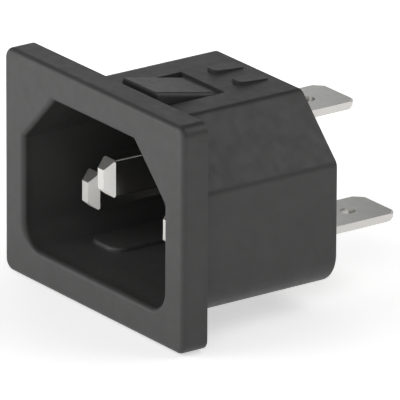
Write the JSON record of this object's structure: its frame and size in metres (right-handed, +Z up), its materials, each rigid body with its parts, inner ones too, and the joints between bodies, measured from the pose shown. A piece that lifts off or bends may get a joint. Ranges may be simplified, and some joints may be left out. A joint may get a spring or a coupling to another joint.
{
  "type": "c14 panel inlet socket",
  "caption": "Snap-in appliance inlet: a black moulded flange and shrouded socket around flat pins, with a spring latch on top and flat quick-connect tabs at the rear.",
  "frame": {"origin": "centre of the socket mouth on the front plane of the flange", "axes": "+X to the right for someone facing the socket, +Y into the panel and out of the rear, +Z up, earth pin uppermost"},
  "size_m": [0.031, 0.0305, 0.0238],
  "materials": {
    "housing_plastic": "satin, moulded",
    "pin_plating": "nickel plated",
    "tab_plating": "tin plated, with bare cut edges"
  },
  "bodies": {
    "root": {"housing": "housing_plastic", "line_pin": "pin_plating", "neutral_pin": "pin_plating", "earth_pin": "pin_plating", "line_tab": "tab_plating", "neutral_tab": "tab_plating", "earth_tab": "tab_plating"}
  },
  "joints": []
}
